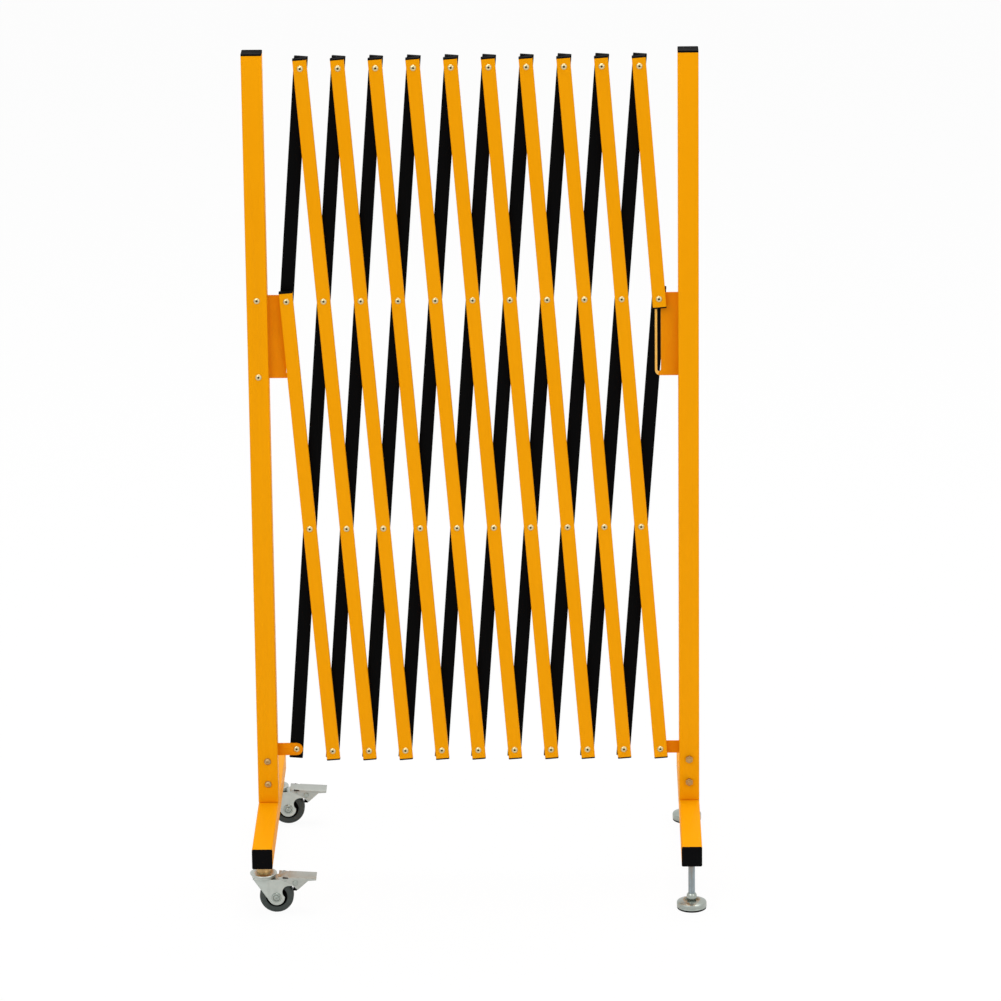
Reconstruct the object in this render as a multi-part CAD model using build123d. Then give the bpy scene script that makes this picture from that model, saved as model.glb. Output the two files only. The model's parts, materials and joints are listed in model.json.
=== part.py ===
from build123d import *
import math
import os

# An expandable safety barrier: two square posts joined by a scissor lattice of flat bars.
# Millimetres. X runs from the caster post to the levelling post, Y from front to rear, Z up.
# The origin is at the middle of the footprint, on the floor. The barrier is drawn closed up.

# Scissor lattice
cell_count = 10
row_count = 4
first_row = 0
slot_row = 2
hole_spacing = 349.0
closed_half_pitch = 27.2
bar_width = 20.0
bar_thickness = 10.0
bar_wall = 1.2
bar_overhang = 13.0
cap_thickness = 1.5
rivet_radius = 2.5
rivet_head_radius = 5.0
rivet_head_height = 1.8
shank_sides = 6
head_sides = 8
nut_sides = 6
turned_sides = 24
rivet_clearance = 0.08
rivet_end_play = 0.15
sheet_clearance = 0.3

# Posts
post_size = 30.0
post_wall = 1.5
post_corner = 2.0
post_height = 1144.0
pivot_offset = 43.0
lowest_pivot_height = 80.0

# Steel plates that carry the lattice
plate_thickness = 2.0
tab_height = 19.0
plate_above_pivot = 7.5
plate_below_pivot = 118.5
plate_overhang = 6.0
plate_corner = 8.0
leaf_half_width = 9.0
slot_clearance = 0.15
slot_run = 109.5
plate_rivet_radius = 2.4
plate_rivet_head_radius = 5.0
plate_rivet_inset = 5.0

# Feet
foot_length = 428.0
foot_end_inset = 26.0
stub_clearance = 0.25
stub_height = 85.0
plug_head = 3.0
plug_depth = 14.0
plug_chamfer = 1.0
bolt_radius = 3.0
bolt_head_radius = 5.2
bolt_head_height = 3.6
bolt_nut_width = 10.0
bolt_nut_height = 5.0
bolt_end = 2.0
bolt_clearance = 0.2
low_bolt_height = 29.5
bolt_spacing = 36.0

# Casters
wheel_radius = 25.0
tyre_width = 18.0
tyre_depth = 6.5
tyre_shoulder = 3.0
tyre_shoulder_taper = 27
hub_width = 21.0
axle_radius = 4.0
axle_head_radius = 6.5
axle_head_height = 2.4
axle_clearance = 0.08
trail = 19.0
fork_gap = 22.0
fork_sheet = 1.5
fork_top = 53.0
fork_reach = 15.5
fork_boss_radius = 12.0
fork_arm_depth = 10.0
fork_arch = 9.0
race_radius = 20.0
race_rim_radius = 17.0
race_rim = 2.5
race_height = 6.0
stem_radius = 5.0
stem_flange_radius = 12.0
stem_flange = 2.4
stem_boss_radius = 9.0
stem_boss_height = 14.0
stem_head_radius = 7.0
stem_head = 2.6
stem_nut_width = 17.0
stem_nut_height = 8.0
stem_end = 3.0
pedal_pivot_x = 47.0
pedal_pivot_drop = 4.5
pedal_pin_radius = 2.0
pedal_pin_end = 1.6
pedal_sheet = 1.5
pedal_side_clearance = 0.5
pedal_start = 3.5
pedal_end = 78.0
pedal_start_rise = 4.8
pedal_end_rise = 1.5
pedal_end_depth = 4.5
pedal_tip_x = 50.5
pedal_tip_drop = 17.0
pedal_heel_x = 66.0
shoe_width = 16.0
shoe_gap = 3.9
shoe_drop = 19.5
shoe_top_x = 53.0

# Levelling feet
stud_radius = 5.0
stud_clearance = 0.08
stud_top = 90.0
stud_nut_width = 16.0
stud_nut_height = 8.0
collar_radius = 7.0
collar_height = 18.0
collar_thickness = 6.0
pad_radius = 22.0
pad_wall = 1.6
pad_rubber = 3.0
pad_rubber_inset = 0.5
pad_rim = 8.0
pad_dome_base = 14.5

# Sizes that follow from the ones above
closed_angle = math.degrees(math.asin(closed_half_pitch / hole_spacing))
foot_clearance_height = (
    fork_top + race_height + rivet_end_play + stem_flange + stem_boss_height
)
row_rise = hole_spacing * math.cos(math.radians(closed_angle))
layer_gap = plate_thickness + 2 * sheet_clearance
layer_inner = layer_gap / 2
layer_outer = layer_inner + bar_thickness
post_bottom = foot_clearance_height + post_size
post_inner = post_size - 2 * post_wall
lowest_pivot_z = post_bottom + lowest_pivot_height
slot_pivot_z = lowest_pivot_z + slot_row * row_rise
post_span = 2 * pivot_offset + 2 * cell_count * closed_half_pitch
left_post_x = -(post_span + pad_radius - race_radius) / 2
right_post_x = left_post_x + post_span
stand_y = foot_length / 2 - foot_end_inset
hole_radius = rivet_radius + rivet_clearance


def columns(row):
    """How many pivots a row of the lattice has: the odd rows sit between the even ones."""
    return cell_count + 1 - row % 2


def pivot(row, column):
    """Where a pivot of the closed lattice lies, as X and Z."""
    x = left_post_x + pivot_offset + closed_half_pitch * (2 * column + row % 2)
    return x, lowest_pivot_z + row_rise * row


def bar_pivots(number, lean):
    """The pivots that a bar passes through, lowest first. Lean is -1 for the front bars, 1 for the rear."""
    lowest_column = number + 1 if lean < 0 else number - 1
    found = []
    for row in range(row_count):
        column = lowest_column + lean * ((row + (lean < 0)) // 2)
        if 0 <= column < columns(row):
            found.append((row, column))
    return found


def shank(radius):
    """The outline of a pin or a rivet's shank. It stays inside the radius."""
    return RegularPolygon(radius, shank_sides)


def pin_hole(radius):
    """The outline of a hole that clears every shank of this radius."""
    return RegularPolygon(radius, shank_sides, major_radius=False)


def head_outline(radius):
    """The outline of a small round head."""
    return RegularPolygon(radius, head_sides)


def turned(radius):
    """The outline of a turned or moulded round. Its flats are too narrow to see."""
    return RegularPolygon(radius, turned_sides)


def cross_prism(outline, start, end):
    """An outline drawn out along Y between two depths."""
    return extrude(Plane.XZ.offset(-start) * outline, start - end)


def cross_bore(radius, half_length):
    """A cutter along Y for a pin of this radius or less."""
    return cross_prism(pin_hole(radius), -half_length, half_length)


def upright_bar(pivots, side):
    """A flat bar that stands on its lowest hole: its tube and its two end caps."""
    run = hole_spacing * (pivots - 1)
    middle = side * (layer_inner + bar_thickness / 2)
    length = run + 2 * bar_overhang
    tube = Box(bar_width, bar_thickness, length)
    tube -= Box(bar_width - 2 * bar_wall, bar_thickness - 2 * bar_wall, length)
    tube = Pos(0, middle, run / 2) * tube
    bore = cross_bore(hole_radius, 2 * bar_thickness)
    tube -= [Pos(0, middle, hole_spacing * step) * bore for step in range(pivots)]
    cap = Box(bar_width, bar_thickness, cap_thickness)
    reach = bar_overhang + cap_thickness / 2
    return [tube, Pos(0, middle, -reach) * cap, Pos(0, middle, run + reach) * cap]


def lattice_bar(number, lean):
    """One bar of the lattice in its closed place."""
    pivots = bar_pivots(number, lean)
    x, z = pivot(*pivots[0])
    place = Pos(x, 0, z) * Rot(0, lean * closed_angle, 0)
    return [place * piece for piece in upright_bar(len(pivots), lean)]


def rivet(front_y, rear_y, radius=rivet_radius, head_radius=rivet_head_radius):
    """A rivet along Y, its heads on the two faces that it holds."""
    body = cross_prism(shank(radius), front_y, rear_y)
    body += cross_prism(head_outline(head_radius), front_y - rivet_head_height, front_y)
    return body + cross_prism(head_outline(head_radius), rear_y, rear_y + rivet_head_height)


def bar_rivets(number):
    """The rivets that turn with a front bar. The last one of the lowest row ends on the post's tab."""
    rivets = []
    for row, column in bar_pivots(number, -1):
        x, z = pivot(row, column)
        on_tab = row == first_row and column == cell_count
        rear_y = plate_thickness / 2 if on_tab else layer_outer
        rivets.append(Pos(x, 0, z) * rivet(-layer_outer, rear_y + rivet_end_play))
    return rivets


def square_tube(size, wall, length, corner):
    """A square tube along Z that starts at its origin."""
    outside = RectangleRounded(size, size, corner)
    inside = Rectangle(size - 2 * wall, size - 2 * wall)
    return extrude(outside - inside, length)


def bolt_heights():
    """The two bolts that hold a post on its foot, above the foot's top."""
    return [low_bolt_height, low_bolt_height + bolt_spacing]


def plate_rivet_heights():
    """The two rivets that hold a guide plate in its post."""
    lowest = slot_pivot_z - plate_below_pivot + plate_rivet_inset
    highest = slot_pivot_z + plate_above_pivot - plate_rivet_inset
    return [lowest, highest]


def post():
    """A post on its own axis, with the lattice on its +X side."""
    tube = Pos(0, 0, post_bottom) * square_tube(post_size, post_wall, post_height, post_corner)
    bolt_bore = cross_bore(bolt_radius + bolt_clearance, post_size)
    tube -= [Pos(0, 0, post_bottom + height) * bolt_bore for height in bolt_heights()]
    rivet_bore = cross_bore(plate_rivet_radius + rivet_clearance, post_size / 2)
    tube -= [Pos(0, -post_size / 2, height) * rivet_bore for height in plate_rivet_heights()]
    plate_height = plate_above_pivot + plate_below_pivot + 2 * sheet_clearance
    slit_middle = slot_pivot_z + (plate_above_pivot - plate_below_pivot) / 2
    slit = Box(post_wall * 2, layer_gap, plate_height)
    return tube - Pos(post_size / 2, 0, slit_middle) * slit


def pivot_tab():
    """The tab that carries the lowest pivot: a strip welded to the post, with a round end."""
    reach = pivot_offset - post_size / 2
    strip = Pos(post_size / 2 + reach / 2, 0) * Rectangle(reach, tab_height)
    outline = strip + Pos(pivot_offset, 0) * Circle(tab_height / 2)
    outline -= Pos(pivot_offset, 0) * pin_hole(hole_radius)
    tab = extrude(Plane.XZ * outline, plate_thickness / 2, both=True)
    return Pos(0, 0, lowest_pivot_z) * tab


def guide_plate():
    """The slotted plate that guides the middle row. Its folded leaf is riveted inside the post."""
    height = plate_above_pivot + plate_below_pivot
    leaf_y = -(post_inner - plate_thickness) / 2
    fold_x = leaf_half_width - plate_thickness / 2
    centre_line = Polyline(
        (-leaf_half_width, leaf_y),
        (fold_x, leaf_y),
        (fold_x, 0),
        (pivot_offset + plate_overhang, 0),
    )
    sheet = extrude(trace(centre_line, line_width=plate_thickness), height)
    free_edges = sheet.edges().filter_by(Axis.Y).group_by(Axis.X)[-1]
    sheet = fillet(free_edges.sort_by(Axis.Z)[0], plate_corner)
    slot_width = 2 * (rivet_radius + slot_clearance)
    slot = SlotCenterToCenter(slot_run, slot_width, rotation=90)
    slot_cut = extrude(Plane.XZ * slot, plate_thickness, both=True)
    sheet -= Pos(pivot_offset, 0, plate_below_pivot - slot_run / 2) * slot_cut
    rivet_bore = cross_bore(plate_rivet_radius + rivet_clearance, plate_thickness)
    base = slot_pivot_z - plate_below_pivot
    sheet -= [Pos(0, leaf_y, z - base) * rivet_bore for z in plate_rivet_heights()]
    return Pos(0, 0, base) * sheet


def plate_rivets():
    """The rivets through the post's wall and the leaf of its guide plate."""
    front_y = -post_size / 2
    rear_y = front_y + post_wall + plate_thickness
    body = rivet(front_y, rear_y, plate_rivet_radius, plate_rivet_head_radius)
    return [Pos(0, 0, height) * body for height in plate_rivet_heights()]


def hex_nut(width, height, bore_radius):
    """A hexagon nut that sits on the plane below it."""
    outline = RegularPolygon(width / 2, nut_sides, major_radius=False) - pin_hole(bore_radius)
    return extrude(outline, height)


def foot(stem_hole_radius):
    """The tube under a post, with the stub that the post slides over."""
    tube = square_tube(post_size, post_wall, foot_length, post_corner)
    tube = Pos(0, foot_length / 2, post_bottom - post_size / 2) * Rot(90, 0, 0) * tube
    stub_size = post_inner - 2 * stub_clearance
    stub = Pos(0, 0, post_bottom) * square_tube(stub_size, post_wall, stub_height, post_corner)
    bolt_bore = cross_bore(bolt_radius + bolt_clearance, post_size)
    stub -= [Pos(0, 0, post_bottom + height) * bolt_bore for height in bolt_heights()]
    stem_bore = extrude(pin_hole(stem_hole_radius), post_wall, both=True)
    tube -= [Pos(0, y, foot_clearance_height) * stem_bore for y in (-stand_y, stand_y)]
    return tube + stub


def end_plug():
    """A square plastic plug for a tube's end, its head upwards and its underside at zero."""
    head = extrude(Rectangle(post_size, post_size), plug_head)
    head = chamfer(head.edges() - head.faces().sort_by(Axis.Z)[0].edges(), plug_chamfer)
    body_size = post_inner - 2 * stub_clearance
    return head + extrude(Rectangle(body_size, body_size), -plug_depth)


def plugs():
    """The three plugs of a side: one on the post and one at each end of the foot."""
    middle_z = post_bottom - post_size / 2
    return [
        Pos(0, 0, post_bottom + post_height) * end_plug(),
        Pos(0, -foot_length / 2, middle_z) * Rot(90, 0, 0) * end_plug(),
        Pos(0, foot_length / 2, middle_z) * Rot(-90, 0, 0) * end_plug(),
    ]


def foot_bolts():
    """The bolts through post and stub, heads on the front face, each with its nut."""
    face_y = post_size / 2
    end_y = face_y + bolt_nut_height + bolt_end
    bolt = cross_prism(shank(bolt_radius), -face_y, end_y)
    bolt += cross_prism(head_outline(bolt_head_radius), -face_y - bolt_head_height, -face_y)
    nut = hex_nut(bolt_nut_width, bolt_nut_height, bolt_radius + rivet_clearance)
    nut = Pos(0, face_y, 0) * Rot(-90, 0, 0) * nut
    pieces = []
    for height in bolt_heights():
        pieces += [Pos(0, 0, post_bottom + height) * piece for piece in (bolt, nut)]
    return pieces


def caster_stem():
    """The fixed stem of a caster: its head, race flange, boss and the nut inside the foot."""
    wall_top = foot_clearance_height + post_wall
    race_top = fork_top + race_height + rivet_end_play
    head_top = fork_top - fork_sheet - rivet_end_play
    flange_top = race_top + stem_flange
    stem_top = wall_top + stem_nut_height + stem_end
    stem = Pos(0, 0, head_top - stem_head) * extrude(head_outline(stem_head_radius), stem_head)
    stem += Pos(0, 0, head_top) * extrude(shank(stem_radius), stem_top - head_top)
    stem += Pos(0, 0, race_top) * extrude(turned(stem_flange_radius), stem_flange)
    stem += Pos(0, 0, flange_top) * extrude(turned(stem_boss_radius), foot_clearance_height - flange_top)
    nut = hex_nut(stem_nut_width, stem_nut_height, stem_radius + rivet_clearance)
    return [stem, Pos(0, 0, wall_top) * nut]


def fork():
    """The stamped fork of a caster: two side plates, the crown between them and the race on top."""
    boss = Pos(trail, wheel_radius) * Circle(fork_boss_radius)
    arm_bottom = fork_top - fork_arm_depth
    neck_x = trail + fork_boss_radius
    crown_edge = Line((-fork_reach, fork_top), (neck_x, fork_top))
    leg = make_hull([crown_edge, *boss.edges()])
    arm_middle = fork_top - fork_arm_depth / 2
    arm = Pos((trail + pedal_pivot_x) / 2, arm_middle) * Rectangle(pedal_pivot_x - trail, fork_arm_depth)
    arm_end = Pos(pedal_pivot_x, arm_middle) * Circle(fork_arm_depth / 2)
    outline = leg + arm + arm_end
    inner_corner = outline.vertices().sort_by_distance((neck_x, arm_bottom))[0]
    outline = fillet(inner_corner, fork_arch)
    outline -= Pos(trail, wheel_radius) * pin_hole(axle_radius + axle_clearance)
    pin_place = Pos(pedal_pivot_x, fork_top - pedal_pivot_drop)
    outline -= pin_place * pin_hole(pedal_pin_radius + axle_clearance)
    inner_y = fork_gap / 2
    side = extrude(Plane.XZ * outline, fork_sheet)
    plates = Pos(0, -inner_y, 0) * side + Pos(0, inner_y + fork_sheet, 0) * side
    crown_length = fork_reach + neck_x
    crown = Pos(neck_x - crown_length / 2, 0, fork_top - fork_sheet / 2)
    crown *= Box(crown_length, fork_gap + 2 * fork_sheet, fork_sheet)
    race = Pos(0, 0, fork_top) * extrude(turned(race_rim_radius), race_rim)
    race += Pos(0, 0, fork_top + race_rim) * extrude(turned(race_radius), race_height - race_rim)
    stem_bore = extrude(pin_hole(stem_radius + axle_clearance), race_height, both=True)
    stem_bore = Pos(0, 0, fork_top) * stem_bore
    return plates + crown + race - stem_bore


def cross_pin(radius, head_radius, half_length, head_height):
    """A pin along Y with a low head at each end."""
    pin = cross_prism(shank(radius), -half_length, half_length)
    outline = head_outline(head_radius)
    pin += cross_prism(outline, -half_length - head_height, -half_length)
    return pin + cross_prism(outline, half_length, half_length + head_height)


def caster_pins():
    """The wheel's axle and the pin of the brake pedal, both held by the fork."""
    plate_outside = fork_gap / 2 + fork_sheet
    pedal_outside = plate_outside + pedal_side_clearance + pedal_sheet + rivet_end_play
    axle = cross_pin(axle_radius, axle_head_radius, plate_outside, axle_head_height)
    pin = cross_pin(pedal_pin_radius, 2 * pedal_pin_radius, pedal_outside, pedal_pin_end)
    return [
        Pos(trail, 0, wheel_radius) * axle,
        Pos(pedal_pivot_x, 0, fork_top - pedal_pivot_drop) * pin,
    ]


def wheel_hub():
    """The plastic hub, with a boss at its bore and a web inside its rim."""
    rim_radius = wheel_radius - tyre_depth
    rim = turned(rim_radius) - turned(rim_radius - tyre_shoulder)
    boss = head_outline(2 * axle_radius)
    half_web = tyre_width / 4
    half_rim = tyre_width / 2 - tyre_shoulder / 2
    hub = cross_prism(turned(rim_radius - tyre_shoulder), -half_web, half_web)
    hub += cross_prism(rim, -half_rim, half_rim)
    hub += cross_prism(boss, -hub_width / 2, hub_width / 2)
    hub -= cross_bore(axle_radius + axle_clearance, hub_width)
    return Pos(trail, 0, wheel_radius) * hub


def tyre():
    """The rubber tyre: a flat tread between two sloped shoulders."""
    half_tread = tyre_width / 2 - tyre_shoulder
    tread = turned(wheel_radius)
    body = extrude(tread, half_tread, both=True)
    shoulder = extrude(tread, tyre_shoulder, taper=tyre_shoulder_taper)
    body += Pos(0, 0, half_tread) * shoulder
    body += Pos(0, 0, -half_tread) * Rot(180, 0, 0) * shoulder
    body -= extrude(turned(wheel_radius - tyre_depth), tyre_width, both=True)
    return Pos(trail, 0, wheel_radius) * Rot(90, 0, 0) * body


def brake_pedal():
    """The brake pedal: a folded channel over the fork's arms, with the shoe hanging at the tyre."""
    start_z = fork_top + pedal_start_rise
    end_z = fork_top + pedal_end_rise
    pivot_z = fork_top - pedal_pivot_drop
    start_x = trail + pedal_start
    eye_radius = 2 * pedal_pin_radius + pedal_sheet
    side_outline = make_face(
        Polyline(
            (start_x, start_z),
            (start_x, start_z - 2 * pedal_sheet),
            (pedal_pivot_x - eye_radius, pivot_z - eye_radius / 2),
            (pedal_tip_x, fork_top - pedal_tip_drop),
            (pedal_heel_x, end_z - pedal_end_depth + pedal_sheet),
            (pedal_end, end_z - pedal_end_depth),
            (pedal_end, end_z),
            close=True,
        )
    )
    side_outline -= Pos(pedal_pivot_x, pivot_z) * pin_hole(pedal_pin_radius + axle_clearance)
    inner_y = fork_gap / 2 + fork_sheet + pedal_side_clearance
    side = extrude(Plane.XZ * side_outline, pedal_sheet)
    sides = Pos(0, -inner_y, 0) * side + Pos(0, inner_y + pedal_sheet, 0) * side
    top_outline = make_face(
        Polyline(
            (start_x, start_z),
            (pedal_end, end_z),
            (pedal_end, end_z - pedal_sheet),
            (start_x, start_z - pedal_sheet),
            close=True,
        )
    )
    top = extrude(Plane.XZ * top_outline, inner_y + pedal_sheet, both=True)
    shoe_z = fork_top - shoe_drop
    rise = shoe_z - wheel_radius
    shoe_x = trail + math.sqrt(wheel_radius**2 - rise**2) + shoe_gap
    slope = (start_z - end_z) / (pedal_end - start_x)
    shoe_top_z = end_z + slope * (pedal_end - shoe_top_x) - pedal_sheet / 2
    shoe_outline = make_face(
        Polyline(
            (shoe_x, shoe_z),
            (shoe_top_x, shoe_top_z),
            (shoe_top_x + pedal_sheet, shoe_top_z),
            (shoe_x + pedal_sheet, shoe_z),
            close=True,
        )
    )
    shoe = extrude(Plane.XZ * shoe_outline, shoe_width / 2, both=True)
    return sides + top + shoe


def levelling_stud():
    """The threaded stud of a levelling foot, drawn plain, with the collar that its pad holds."""
    stud = Pos(0, 0, collar_height) * extrude(turned(stud_radius), stud_top - collar_height)
    return stud + Pos(0, 0, collar_height) * extrude(head_outline(collar_radius), collar_thickness)


def levelling_pad():
    """The steel cup of a levelling foot and the rubber pad in its base."""
    neck_radius = collar_radius + pad_wall
    slope_base = pad_rubber + pad_rim
    slope = math.degrees(math.atan((pad_radius - neck_radius) / (pad_dome_base - slope_base)))
    neck_height = collar_height + collar_thickness - pad_dome_base
    cup = Pos(0, 0, pad_rubber) * extrude(turned(pad_radius), pad_rim)
    cup += Pos(0, 0, slope_base) * extrude(turned(pad_radius), pad_dome_base - slope_base, taper=slope)
    cup += Pos(0, 0, pad_dome_base) * extrude(turned(neck_radius), neck_height)
    collar_room = extrude(head_outline(collar_radius), collar_thickness)
    cup -= Pos(0, 0, collar_height) * collar_room
    rubber = extrude(turned(pad_radius - pad_rubber_inset), pad_rubber)
    return [cup, rubber]


def weld_nuts():
    """The nuts welded over the foot's holes, for the levelling studs."""
    wall_top = foot_clearance_height + post_wall
    nut = hex_nut(stud_nut_width, stud_nut_height, stud_radius + stud_clearance)
    return [Pos(0, y, wall_top) * nut for y in (-stand_y, stand_y)]


left_side = Pos(left_post_x, 0, 0)
right_side = Pos(right_post_x, 0, 0) * Rot(0, 0, 180)
pieces = {}


def put(node, place, solids):
    """Keep a node: its solids, each set in its place."""
    pieces[node] = [place * solid for solid in solids]


for side_name, side_place, stem_hole in (
    ("left", left_side, stem_radius + bolt_clearance),
    ("right", right_side, stud_radius + bolt_clearance),
):
    put(side_name + "_post", side_place, [post()])
    put(side_name + "_brackets", side_place, [guide_plate(), pivot_tab()])
    put(side_name + "_plugs", side_place, plugs())
    put(side_name + "_bolts", side_place, foot_bolts())
    put(side_name + "_rivets", side_place, plate_rivets())
    put(side_name + "_foot", side_place, [foot(stem_hole)])

# The right foot carries its weld nuts, and the left tab its own pivot rivet
pieces["right_foot"] += [right_side * nut for nut in weld_nuts()]
tab_rivet = rivet(-plate_thickness / 2, layer_outer + rivet_end_play)
tab_x, tab_z = pivot(first_row, 0)
pieces["left_rivets"].append(Pos(tab_x, 0, tab_z) * tab_rivet)

pieces["caster_stems"] = []
for end_name, end_y in (("front", -stand_y), ("rear", stand_y)):
    caster_place = Pos(left_post_x, end_y, 0)
    pieces["caster_stems"] += [caster_place * solid for solid in caster_stem()]
    put(end_name + "_caster_fork", caster_place, [fork()])
    put(end_name + "_caster_pins", caster_place, caster_pins())
    put(end_name + "_caster_hub", caster_place, [wheel_hub()])
    put(end_name + "_caster_tyre", caster_place, [tyre()])
    put(end_name + "_brake_pedal", caster_place, [brake_pedal()])
    stand_place = Pos(right_post_x, end_y, 0)
    put(end_name + "_levelling_stud", stand_place, [levelling_stud()])
    put(end_name + "_levelling_pad", stand_place, levelling_pad())

for number in range(cell_count + 1):
    label = f"{number + 1:02d}"
    put("front_bar_" + label, Pos(0, 0, 0), lattice_bar(number, -1))
    put("bar_rivets_" + label, Pos(0, 0, 0), bar_rivets(number))
    put("rear_bar_" + label, Pos(0, 0, 0), lattice_bar(number, 1))

os.makedirs("parts", exist_ok=True)
for node, solids in pieces.items():
    export_step(Compound(children=solids, label=node), f"parts/{node}.step")
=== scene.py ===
"""Looks of an expandable safety barrier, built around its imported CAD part.

The frame gives every place. Posts, feet, plates, forks and pedals are finished copies of the CAD nodes.
Bars, rivets, bolts, plugs, races, wheels and levelling feet are modelled here, because the CAD part
draws them plainer. Lengths are in metres, with MM for the sizes that are known in millimetres.
"""

import json
import math

import bpy
from mathutils import Matrix, Vector

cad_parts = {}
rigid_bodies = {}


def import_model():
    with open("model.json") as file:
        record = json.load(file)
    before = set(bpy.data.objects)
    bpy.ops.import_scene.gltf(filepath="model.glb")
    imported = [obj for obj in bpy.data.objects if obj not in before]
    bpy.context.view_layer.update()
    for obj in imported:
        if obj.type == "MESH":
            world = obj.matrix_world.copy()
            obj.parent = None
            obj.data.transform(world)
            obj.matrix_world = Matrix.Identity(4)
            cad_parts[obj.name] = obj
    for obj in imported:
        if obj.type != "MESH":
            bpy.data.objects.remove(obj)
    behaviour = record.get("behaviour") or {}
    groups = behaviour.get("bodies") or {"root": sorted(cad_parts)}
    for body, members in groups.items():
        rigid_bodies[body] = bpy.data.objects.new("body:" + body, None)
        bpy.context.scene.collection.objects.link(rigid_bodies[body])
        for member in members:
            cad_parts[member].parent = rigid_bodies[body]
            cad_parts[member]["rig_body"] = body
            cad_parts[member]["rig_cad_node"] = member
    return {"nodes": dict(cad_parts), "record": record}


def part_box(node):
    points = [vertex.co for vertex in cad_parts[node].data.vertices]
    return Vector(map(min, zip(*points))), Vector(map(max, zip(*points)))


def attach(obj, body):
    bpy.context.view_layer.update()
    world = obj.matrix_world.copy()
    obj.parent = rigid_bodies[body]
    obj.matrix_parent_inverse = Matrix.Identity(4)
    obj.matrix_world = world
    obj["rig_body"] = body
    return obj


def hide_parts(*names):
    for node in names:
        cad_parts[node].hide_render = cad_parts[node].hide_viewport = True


MM = 0.001

# Axes by their numbers
Y_AXIS = 1
Z_AXIS = 2

# Camera, set against the lattice's rivets and the posts in the photograph
CAMERA_PLACE = (0.1567, -8.3173, 3.1421)
CAMERA_TURN = math.radians(0.829)
CAMERA_DIP = math.radians(17.168)
CAMERA_ROLL = math.radians(-0.655)
CAMERA_LENS = 212.1
CAMERA_SENSOR = 36
CAMERA_REACH = 100

# Studio: the floor's glow as the camera and as metal see it, the sky, and each softbox by its place,
# size and power
FLOOR_SIZE = 60
FLOOR_COLOUR = "F0F0F0"
FLOOR_GLOW = 0.95
FLOOR_MIRRORED = 0.5
AMBIENT = 0.5
REFLECTED = 0.95
WHITE = (1, 1, 1, 1)
LAMPS_FACE = (0, 0, 0.6)
SOFTBOXES = {
    "key_light": ((-2.2, -3.6, 3.6), 2.4, 62),
    "fill_light": ((3.0, -3.0, 2.2), 2.4, 24),
    "top_light": ((0.2, 0.6, 4.2), 2.6, 135),
}

# How finely round pieces and rounded edges are drawn
ROUND_SIDES = 64
SMALL_SIDES = 28
HEXAGON_SIDES = 6
CORNER_STEPS = 4
EDGE_STEPS = 3
HIDDEN_STEPS = 2

# Tolerances, from points that count as one up to pieces that stand near each other
MERGED = MM / 1000
LEVEL = MM / 100
JUST_OVER = MM / 10
NEAR = MM
FLAT_ANGLE = math.radians(0.5)
PARALLEL_SHARE = 0.99

# Layout of the lattice: its bars are numbered from the left, and the one named here is a long one
BAR_COUNT = 11
LONG_BAR = "05"
LONG_BAR_SPANS = 3
PIVOT_COUNTS = (2, 3, 4)

# Lattice sizes that the frame doesn't give
BAR_WIDTH = 20 * MM
BAR_CORNER = 1.6 * MM
CAP_THICKNESS = 2.2 * MM
CAP_EDGE = 0.3 * MM
HEAD_RADIUS = 5 * MM
PLATE_FACE = 1 * MM
LEAF_DEPTH = 3.5 * MM
WASHER_RADIUS = 5.6 * MM
WASHER_EDGE = 0.2 * MM

# Rounding of the copied pieces
TUBE_EDGE = 0.25 * MM
PLATE_EDGE = 0.7 * MM
SLOT_REACH = 3 * MM
SLOT_HALF = 2.6 * MM
PRESSED_EDGE = 0.65 * MM
SEAM_EDGE = 1.35 * MM

# A rivet head from its hollow to its shank: radius and height above the face, in millimetres
RIVET_HEAD = (
    (1.6, 0.2),
    (1.6, 1.5),
    (2.0, 1.8),
    (2.8, 1.7),
    (3.7, 1.2),
    (4.4, 0.6),
    (4.7, 0.15),
    (4.7, 0),
    (2.5, 0),
)
MANDREL = ((1.55, 0.1), (1.55, 0.7), (0.9, 0.95))

# A foot bolt from the hollow of its head to its end, measured from the post's front face
BOLT = (
    (1.5, 1.9),
    (1.7, 3.2),
    (2.2, 3.6),
    (3.4, 3.2),
    (4.5, 2.3),
    (5.1, 1.1),
    (5.2, 0),
    (3.0, 0),
    (3.0, -36.6),
    (2.5, -37.0),
)
BOLT_HEAD_RADIUS = 5.2 * MM
BOLT_NUT_WIDTH = 10 * MM
BOLT_NUT_HEIGHT = 5 * MM
NUT_EDGE = 0.5 * MM

# Plugs
PLUG_HEAD = 3 * MM
PLUG_DEPTH = 14 * MM
PLUG_CORNER = 2 * MM
PLUG_EDGE = 0.8 * MM
PLUG_RIM = 1.6 * MM
PLUG_DISH = 0.4 * MM
PLUG_BODY = 26.5 * MM

# Casters: radius and height above the floor, in millimetres
FORK_TOP = 53 * MM
RACE = (
    (16.6, 53.0),
    (17.2, 55.0),
    (18.6, 57.0),
    (19.7, 58.4),
    (20.0, 59.5),
    (19.6, 60.4),
    (18.4, 60.9),
    (14.0, 61.2),
    (10.0, 61.2),
)
STEM = (
    (7.0, 48.75),
    (7.0, 51.35),
    (5.0, 51.35),
    (5.0, 59.0),
    (10.4, 59.0),
    (10.4, 63.4),
    (9.8, 64.4),
    (9.2, 75.5),
    (5.0, 75.5),
    (5.0, 87.6),
    (4.5, 88.0),
)
STEM_NUT_WIDTH = 17 * MM
STEM_NUT_LOW = 77.05 * MM
STEM_NUT_HEIGHT = 8 * MM

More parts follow.
